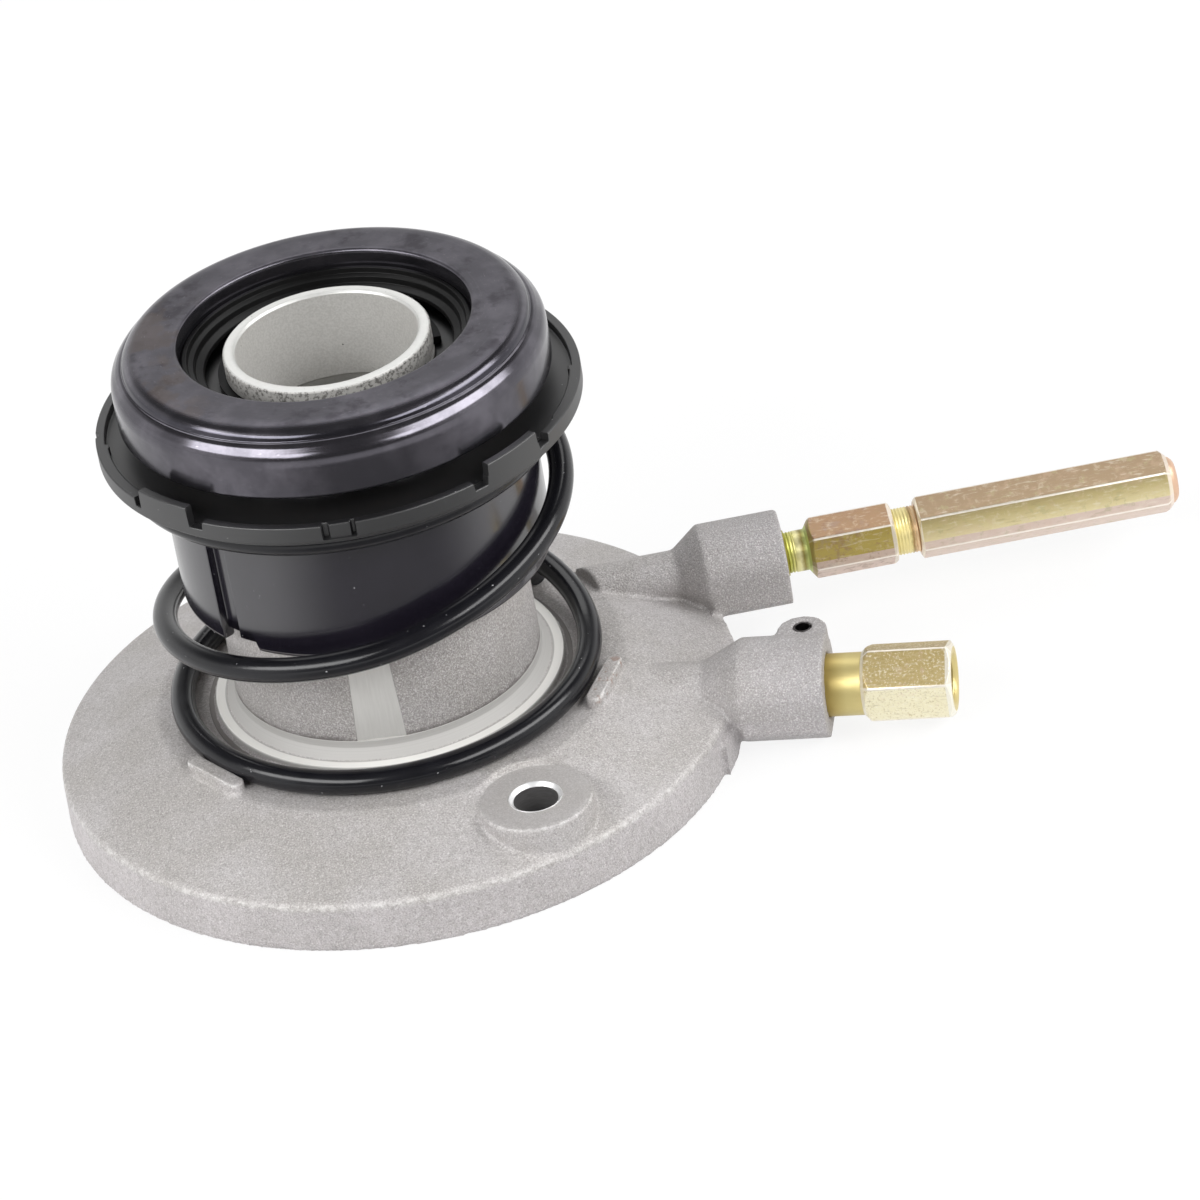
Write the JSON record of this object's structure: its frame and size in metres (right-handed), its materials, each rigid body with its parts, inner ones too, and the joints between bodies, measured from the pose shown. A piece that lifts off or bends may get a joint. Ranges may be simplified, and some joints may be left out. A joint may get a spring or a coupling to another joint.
{
  "type": "concentric clutch slave cylinder",
  "caption": "Concentric clutch slave cylinder: flanged cast body round a guide sleeve, coil spring, plastic bearing carrier, release bearing, and inlet and bleed fittings at one side.",
  "frame": {"origin": "centre of the bolt circle on the mounting plane of the body, on the axis of the guide sleeve", "axes": "+Z along the guide sleeve towards the clutch; +X towards the fittings, along the bleed line"},
  "size_m": [0.2173, 0.128, 0.0929],
  "materials": {
    "cast_metal": "rough as-cast",
    "bright_steel": "polished",
    "spring_black": "gloss black coat",
    "black_plastic": "satin moulded",
    "blued_steel": "blued, worn flat on the face",
    "plated_steel": "yellow zinc plate",
    "pin_steel": "dark oiled",
    "seal_rubber": "matt",
    "piston_metal": "hard anodised",
    "ball_steel": "polished",
    "cage_plastic": "moulded"
  },
  "bodies": {
    "housing": {"housing": "cast_metal", "guide_sleeve": "bright_steel", "sleeve_sealing_ring": "seal_rubber", "sleeve_stop_ring": "blued_steel", "wiper_seal": "seal_rubber", "preload_spring": "spring_black", "inlet_roll_pin": "pin_steel", "bleed_adaptor": "plated_steel"},
    "carrier": {"bearing_carrier": "black_plastic", "annular_piston": "piston_metal", "piston_seal": "seal_rubber", "bearing_inner_race": "bright_steel", "bearing_clip": "blued_steel"},
    "bearing_face": {"bearing_outer_race": "blued_steel", "bearing_shield": "blued_steel", "bearing_dust_ring": "seal_rubber"},
    "cage": {"bearing_balls": "ball_steel", "ball_cage": "cage_plastic"},
    "inlet": {"inlet_adaptor": "plated_steel", "inlet_sealing_ring": "seal_rubber"},
    "bleed": {"bleed_extension": "plated_steel"}
  },
  "joints": [
    {"name": "release_travel", "type": "slide", "parent": "housing", "child": "carrier", "axis": [0, 0, 1], "range_m": [-0.018, 0], "stiffness_N_per_m": 6500, "springref_m": 0.006, "deforming": ["preload_spring"]},
    {"name": "bearing_spin", "type": "hinge", "parent": "carrier", "child": "bearing_face", "pos_m": [0, 0, 0.084], "axis": [0, 0, 1], "continuous": true},
    {"name": "cage_spin", "type": "hinge", "parent": "carrier", "child": "cage", "pos_m": [0, 0, 0.084], "axis": [0, 0, 1], "continuous": true},
    {"name": "inlet_swivel", "type": "hinge", "parent": "housing", "child": "inlet", "pos_m": [0, 0, 0.0095], "axis": [0.9686, -0.2487, 0], "continuous": true},
    {"name": "bleed_open", "type": "hinge", "parent": "housing", "child": "bleed", "pos_m": [0, 0.0192, 0.015], "axis": [1, 0, 0], "range_deg": [0, 180]}
  ],
  "couplings": [
    {"joint": "cage_spin", "follows": "bearing_spin", "ratio": 0.54}
  ]
}
